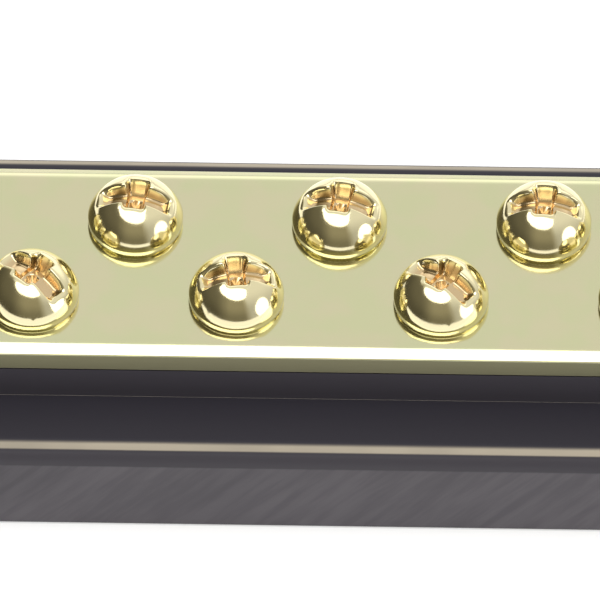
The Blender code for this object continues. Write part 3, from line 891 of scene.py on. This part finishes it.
class BUSBAR_OT_base(bpy.types.Operator):
    """Build the moulded base"""

    bl_idname = "bus_bar.base"
    bl_label = "Moulded base"

    def execute(self, context):
        sizes = context.scene.bus_bar_base
        hardware = context.scene.bus_bar_metal
        half_x, half_y = BASE_BOX[1].x, BASE_BOX[1].y
        deck_z = BAR_BOX[0].z - SEAT_GAP
        bar_half_x, bar_half_y = BAR_BOX[1].x, BAR_BOX[1].y
        stop_x = bar_half_x + SEAT_GAP
        plinth_x = stop_x + sizes.stop_thickness
        body_z, top_z = sizes.body_height, BASE_BOX[1].z

        bm = bmesh.new()
        levels = round_under(sizes.body_foot_edge, 0.0) + round_over(sizes.body_edge, body_z)
        add_block(bm, half_x, half_y, sizes.body_corner, levels)
        base = to_object("moulded_base", bm)

        bm = bmesh.new()
        fillet = sizes.plinth_fillet
        levels = [(-fillet, body_z - OVERRUN)]
        levels += [(-inset, z) for inset, z in round_under(fillet, body_z)]
        levels += round_over(sizes.stop_edge, top_z)
        add_block(bm, plinth_x, bar_half_y, sizes.plinth_corner, levels)
        combine(base, "UNION", bm)

        bm = bmesh.new()
        seat_y = bar_half_y + OVERRUN
        corners = [(stop_x, seat_y), (-stop_x, seat_y), (-stop_x, -seat_y), (stop_x, -seat_y)]
        push = Vector((0, 0, OVERRUN + top_z - deck_z))
        add_prism(bm, [(x, y, deck_z) for x, y in corners], push)
        combine(base, "DIFFERENCE", bm)

        bm = bmesh.new()
        self.add_bays(bm, sizes, bar_half_x, bar_half_y, half_y, deck_z)
        combine(base, "DIFFERENCE", bm)

        well_radius = hardware.shank_diameter / 2 + sizes.well_gap
        insert_radius = hardware.insert_body / 2 + SEAT_GAP
        flange_radius = INSERT_BOX[1].y + SEAT_GAP
        fixing_x = middle(FIXING_BOX).x
        bosses, wells = [], []

        def add_well(x, y, radius, widest, tip_z):
            floor_z = tip_z - sizes.well_end_room
            foot_z, top_z = floor_z - sizes.boss_floor, deck_z - sizes.roof / 2
            bosses.append((x, y, widest + sizes.boss_wall, foot_z, top_z))
            wells.append((x, y, radius, floor_z, deck_z + OVERRUN))

        for box in TERMINAL_BOXES:
            x, y, _ = middle(box)
            add_well(x, y, well_radius, well_radius, box[0].z)
        for x in (-fixing_x, fixing_x):
            add_well(x, 0.0, insert_radius, flange_radius, FIXING_BOX[0].z)
        combine_cylinders(base, "UNION", bosses)
        combine_cylinders(base, "DIFFERENCE", wells)

        mount_x = half_x - sizes.mount_end_distance
        flange_z = INSERT_BOX[1].z - hardware.insert_flange - SEAT_GAP
        seat_z = body_z - sizes.mount_seat_depth
        holes, seats = [], []
        for side in (-1, 1):
            holes.append((side * fixing_x, 0.0, flange_radius, flange_z, deck_z + OVERRUN))
            holes.append((side * mount_x, 0.0, sizes.mount_hole / 2, -OVERRUN, body_z))
            seats.append((side * mount_x, 0.0, sizes.mount_seat / 2, seat_z, body_z + OVERRUN))
        combine_cylinders(base, "DIFFERENCE", holes)
        combine_cylinders(base, "DIFFERENCE", seats)

        smooth(base)
        material = plastic_material(context.scene.bus_bar_finish, sizes)
        place(base, material, ["base"])
        return {"FINISHED"}

    @staticmethod
    def add_bays(bm, sizes, bar_half_x, bar_half_y, half_y, deck_z):
        """Prisms that core out the underside: two to a bay, one each side of the spine."""
        span = 2 * bar_half_x + sizes.rib
        pitch = span / sizes.bay_count
        inner, step, outer = sizes.spine / 2, bar_half_y - sizes.wall, half_y - sizes.wall
        low, high = sizes.body_height - sizes.roof, deck_z - sizes.roof
        section = [(inner, -OVERRUN), (outer, -OVERRUN), (outer, low)]
        section += [(step, low), (step, high), (inner, high)]
        for bay in range(sizes.bay_count):
            start_x = -span / 2 + bay * pitch + sizes.rib / 2
            for side in (1, -1):
                points = [(start_x, side * y, z) for y, z in section]
                add_prism(bm, points, Vector((pitch - sizes.rib, 0, 0)))


class BUSBAR_OT_bar(bpy.types.Operator):
    """Build the brass bar"""

    bl_idname = "bus_bar.bar"
    bl_label = "Brass bar"

    def execute(self, context):
        sizes = context.scene.bus_bar_metal
        low, high = BAR_BOX
        bm = bmesh.new()
        side_z = high.z - sizes.bar_crown_drop - sizes.bar_bevel_drop
        # Up the side and over the bevel and the crown, with room at both ends for soft corners
        top = [
            (0.0, side_z - sizes.bar_edge * 3),
            (0.0, side_z),
            (sizes.bar_bevel, high.z - sizes.bar_crown_drop),
            (sizes.bar_bevel + sizes.bar_crown, high.z),
            (sizes.bar_bevel + sizes.bar_crown * 2, high.z),
        ]
        levels = round_under(sizes.bar_foot_edge, low.z)
        levels += soft_path(top[:3], sizes.bar_edge)[:-1] + soft_path(top[1:], sizes.bar_bevel)[1:]
        add_block(bm, high.x, high.y, sizes.bar_corner, levels)
        bar = to_object("brass_bar", bm)
        hole = (sizes.shank_diameter / 2 + sizes.hole_gap, low.z - OVERRUN, high.z + OVERRUN)
        fixing_x = middle(FIXING_BOX).x
        places = [middle(box).xy for box in TERMINAL_BOXES] + [(-fixing_x, 0.0), (fixing_x, 0.0)]
        combine_cylinders(bar, "DIFFERENCE", [(*place_xy, *hole) for place_xy in places])
        smooth(bar)
        place(bar, bar_material(context.scene.bus_bar_finish), ["bus_bar"])
        return {"FINISHED"}


class BUSBAR_OT_screws(bpy.types.Operator):
    """Build the terminal screws and the fixing screws"""

    bl_idname = "bus_bar.screws"
    bl_label = "Screws"

    def execute(self, context):
        sizes = context.scene.bus_bar_metal
        material = screw_material(context.scene.bus_bar_finish)
        first, second = middle(TERMINAL_BOXES[0]), middle(TERMINAL_BOXES[1])
        seat_z = TERMINAL_BOXES[0][1].z - sizes.head_height
        shank = seat_z - TERMINAL_BOXES[0][0].z
        screws = set_in_rows(
            "terminal_screws",
            screw_mesh("terminal_screw_form", sizes, shank),
            SLOT_TURNS,
            second.x - first.x,
            first.y - second.y,
            seat_z,
            material,
        )
        place(screws, material, TERMINAL_NODES)
        seat_z = FIXING_BOX[1].z - sizes.head_height
        fixings = set_in_rows(
            "fixing_screws",
            screw_mesh("fixing_screw_form", sizes, seat_z - FIXING_BOX[0].z),
            FIXING_TURNS,
            2 * middle(FIXING_BOX).x,
            0.0,
            seat_z,
            material,
        )
        place(fixings, material, [f"fixing_screw_{side}" for side in SIDES])
        return {"FINISHED"}


class BUSBAR_OT_hardware(bpy.types.Operator):
    """Build the lock washers and threaded inserts"""

    bl_idname = "bus_bar.hardware"
    bl_label = "Washers and inserts"

    def execute(self, context):
        sizes = context.scene.bus_bar_metal
        finish = context.scene.bus_bar_finish
        step = 2 * middle(FIXING_BOX).x
        hole = sizes.shank_diameter / 2 + sizes.hole_gap
        outer = (WASHER_BOX[1].x - WASHER_BOX[0].x) / 2
        thickness = WASHER_BOX[1].z - WASHER_BOX[0].z
        rise = sizes.washer_rise
        levels = [(rise, 0.0), (0.0, rise), (0.0, thickness - rise), (rise, thickness)]
        profile = [(hole + inset, z) for inset, z in levels]
        profile += [(outer - inset, z) for inset, z in reversed(levels)]

        # A ring from one side of the split round to the other
        bm = bmesh.new()
        rings = []
        gap = math.asin(sizes.washer_split / 2 / outer)
        for i in range(HOLE_SIDES + 1):
            turn = gap + i / HOLE_SIDES * (FULL_TURN - 2 * gap)
            x, y = math.sin(turn), -math.cos(turn)
            rings.append([bm.verts.new((r * x, r * y, z)) for r, z in profile])
        for ring, following in zip(rings, rings[1:]):
            bridge(bm, ring, following)
        bm.faces.new(rings[0])
        bm.faces.new(list(reversed(rings[-1])))
        washer = to_object("lock_washer_form", bm)
        shade(washer)
        steel = plain_metal_material("washer_steel_detail", finish.steel, STEEL_ROUGHNESS)
        washers = set_in_rows("lock_washers", washer, NO_TURNS, step, 0.0, WASHER_BOX[0].z, steel)
        place(washers, steel, [f"lock_washer_{side}" for side in SIDES])

        body = sizes.insert_body / 2
        height = INSERT_BOX[1].z - INSERT_BOX[0].z
        groove_top = -(sizes.insert_flange + height - sizes.insert_groove) / 2
        groove_foot = groove_top - sizes.insert_groove
        flange = INSERT_BOX[1].y
        profile = [
            (hole, 0.0),
            (hole, -height),
            (body, -height),
            (body, groove_foot),
            (body - sizes.insert_groove_depth, groove_foot),
            (body - sizes.insert_groove_depth, groove_top),
            (body, groove_top),
            (body, -sizes.insert_flange),
            (flange, -sizes.insert_flange),
            (flange, 0.0),
        ]
        bm = bmesh.new()
        add_tube(bm, profile, HOLE_SIDES)
        insert = to_object("insert_form", bm)
        shade(insert)
        brass = plain_metal_material("insert_brass_detail", finish.insert, INSERT_ROUGHNESS)
        top_z = INSERT_BOX[1].z
        inserts = set_in_rows("threaded_inserts", insert, NO_TURNS, step, 0.0, top_z, brass)
        place(inserts, brass, [f"threaded_insert_{side}" for side in SIDES])
        return {"FINISHED"}


# The far floor is full at this many times the floor's reach, and keeps this part of its colour
FAR_FLOOR_END = 1.4
FAR_FLOOR_SHADE = 0.2
FLOOR_HALF = 6.0

# Ranges in parts of a unit direction, some with what they become at their two ends
DARK_TURN_BLEND = (-0.20, 0.20)  # from the pale side to the dark one
DARK_TOP = (0.76, 0.88)  # where the dark side ends above
DARK_RISE = (0.1, 0.6, 1.0, 1.6)  # how it brightens as it rises
DARK_LEFT = (-0.8, -0.2)  # over what it deepens to the left
DARK_LEFT_SHARE = 0.45  # what is left of it there
BEHIND = (0.55, 0.83)  # the brightest direction's Y and Z
BEHIND_BLEND = (-0.1, 0.6)
BACKDROP_BACK = (0.3, 0.8)  # a pale backdrop behind the object, from its front to its back
BACKDROP_FOOT = (0.05, 0.25)
BACKDROP_TOP = (0.40, 0.70, 0.6, 0.0)
PALE_TONE = (1.0, 1.0, 0.985)
DARK_TONE = (1.0, 0.93, 0.70)

# Each lamp's direction from the object, then its distance, width and depth in metres
OVERHEAD_LAMP = ((-0.13, -0.25, 0.96), 0.62, 0.76, 0.50)
SIDE_LAMP = ((0.88, -0.42, 0.22), 0.62, 0.40, 0.40)

# Where the camera's view starts and ends, in times its distance
CLIP_START = 0.05
CLIP_END = 100


class BUSBAR_OT_stage(bpy.types.Operator):
    """Set up the floor, the room, the lamps and the camera"""

    bl_idname = "bus_bar.stage"
    bl_label = "Stage"

    def execute(self, context):
        scene = context.scene
        stage = scene.bus_bar_stage
        self.add_floor(stage)
        self.add_room(scene, stage)
        target = Vector((stage.aim_x, -stage.aim_y, BAR_BOX[1].z))
        self.add_lamp("overhead_lamp", *OVERHEAD_LAMP, stage.overhead)
        self.add_lamp("side_lamp", *SIDE_LAMP, stage.side)
        self.add_camera(scene, stage, target)
        scene.view_settings.view_transform = "Standard"
        return {"FINISHED"}

    @staticmethod
    def add_floor(stage):
        """A pale floor that is white wherever it is seen or mirrored."""
        bm = bmesh.new()
        bmesh.ops.create_grid(bm, x_segments=1, y_segments=1, size=FLOOR_HALF)
        floor = to_object("floor", bm)
        material, made, shader, where = start_material("plain_floor")
        shader.inputs["Roughness"].default_value = 0.9
        shader.inputs["Specular IOR Level"].default_value = 0.0
        forward = made.times(made.split(where)[1], -1.0)
        far = made.ramp(forward, stage.floor_reach, stage.floor_reach * FAR_FLOOR_END)
        tone = made.mix(far, stage.floor, [part * FAR_FLOOR_SHADE for part in stage.floor])
        made.feed(shader.inputs["Base Color"], tone)
        shader.inputs["Emission Color"].default_value = (1.0, 1.0, 1.0, 1.0)
        rays = made.add("ShaderNodeLightPath").outputs
        seen = made.maths("MAXIMUM", rays["Is Camera Ray"], rays["Is Transmission Ray"])
        seen = made.maths("MAXIMUM", seen, rays["Is Glossy Ray"])
        lift = made.maths("MULTIPLY_ADD", far, 1.0 - stage.floor_lift, stage.floor_lift)
        made.feed(shader.inputs["Emission Strength"], made.times(seen, lift))
        floor.data.materials.append(material)

    @staticmethod
    def add_room(scene, stage):
        """A pale room that is darker in front of the object and on its left."""
        world = bpy.data.worlds.new("room")
        scene.world = world
        world.use_nodes = True
        made = Nodes(world.node_tree)
        x, y, z = made.split(made.add("ShaderNodeTexCoord").outputs["Generated"])

        # 1 in the part of the room that is dark, and 0 elsewhere
        flat = made.maths("SQRT", made.maths("ADD", made.times(x, x), made.times(y, y)))
        aim_x, aim_y = -math.sin(stage.dark_turn), -math.cos(stage.dark_turn)
        along = made.maths("ADD", made.times(x, aim_x), made.times(y, aim_y))
        around = made.ramp(made.maths("DIVIDE", along, flat), *DARK_TURN_BLEND)
        gloom = made.times(around, made.ramp(z, *DARK_TOP, 1.0, 0.0))

        # Brightness of the pale part and of the dark one
        behind = made.maths("MULTIPLY_ADD", y, BEHIND[0], made.times(z, BEHIND[1]))
        behind = made.ramp(behind, *BEHIND_BLEND)
        level = made.maths("MULTIPLY_ADD", behind, stage.room - stage.sides, stage.sides)
        backdrop = made.times(made.ramp(z, *BACKDROP_FOOT), made.ramp(z, *BACKDROP_TOP))
        backdrop = made.times(made.ramp(y, *BACKDROP_BACK), backdrop)
        level = made.maths("ADD", level, backdrop)
        left = made.ramp(x, *DARK_LEFT, stage.dark * DARK_LEFT_SHARE, stage.dark)
        dark = made.times(made.ramp(z, *DARK_RISE), left)

        background = world.node_tree.nodes["Background"]
        made.feed(background.inputs["Color"], made.mix(gloom, PALE_TONE, DARK_TONE))
        fall = made.times(gloom, made.maths("SUBTRACT", level, dark))
        made.feed(background.inputs["Strength"], made.maths("SUBTRACT", level, fall))

    @staticmethod
    def add_lamp(name, towards, distance, width, depth, radiance):
        """An oval lamp that faces the object and isn't seen by the camera."""
        light = bpy.data.lights.new(name, "AREA")
        light.shape = "ELLIPSE"
        light.size, light.size_y = width, depth
        light.energy = radiance * math.pi * width * depth * math.pi / 4
        lamp = bpy.data.objects.new(name, light)
        lamp.visible_camera = False
        bpy.context.scene.collection.objects.link(lamp)
        back = Vector(towards).normalized()
        lamp.location = back * distance
        lamp.rotation_mode = "QUATERNION"
        lamp.rotation_quaternion = back.to_track_quat("Z", "Y")

    @staticmethod
    def add_camera(scene, stage, target):
        """A camera in front of the object, looking down at the target."""
        data = bpy.data.cameras.new("camera")
        data.lens = stage.lens
        camera = bpy.data.objects.new("camera", data)
        scene.collection.objects.link(camera)
        back = Vector((0.0, -math.cos(stage.elevation), math.sin(stage.elevation)))
        distance = stage.view_width * data.lens / data.sensor_width
        camera.location = target + back * distance
        camera.rotation_mode = "QUATERNION"
        level = (-back).to_track_quat("-Z", "Y")
        camera.rotation_quaternion = level @ Quaternion((0.0, 0.0, 1.0), stage.roll)
        data.clip_start, data.clip_end = distance * CLIP_START, distance * CLIP_END
        scene.camera = camera


class BUSBAR_PT_panel(bpy.types.Panel):
    """Sizes, finish and builders of the bus bar"""

    bl_label = "Bus bar"
    bl_idname = "BUSBAR_PT_panel"
    bl_space_type = "VIEW_3D"
    bl_region_type = "UI"
    bl_category = "Bus bar"

    def draw(self, context):
        for operator in OPERATORS:
            self.layout.operator(operator.bl_idname)
        for name, kind in GROUPS.items():
            column = self.layout.column()
            for key in kind.__annotations__:
                column.prop(getattr(context.scene, name), key)


GROUPS = {
    "bus_bar_base": BusBarBaseSizes,
    "bus_bar_metal": BusBarMetalSizes,
    "bus_bar_finish": BusBarFinish,
    "bus_bar_stage": BusBarStage,
}
OPERATORS = (BUSBAR_OT_stage, BUSBAR_OT_base, BUSBAR_OT_bar, BUSBAR_OT_screws, BUSBAR_OT_hardware)


def register():
    for kind in (*GROUPS.values(), *OPERATORS, BUSBAR_PT_panel):
        bpy.utils.register_class(kind)
    for name, kind in GROUPS.items():
        setattr(bpy.types.Scene, name, bpy.props.PointerProperty(type=kind))


def unregister():
    for name in GROUPS:
        delattr(bpy.types.Scene, name)
    for kind in reversed((*GROUPS.values(), *OPERATORS, BUSBAR_PT_panel)):
        bpy.utils.unregister_class(kind)


def main():
    register()
    bpy.ops.bus_bar.stage()
    bpy.ops.bus_bar.base()
    bpy.ops.bus_bar.bar()
    bpy.ops.bus_bar.screws()
    bpy.ops.bus_bar.hardware()


if __name__ == "__main__":
    main()
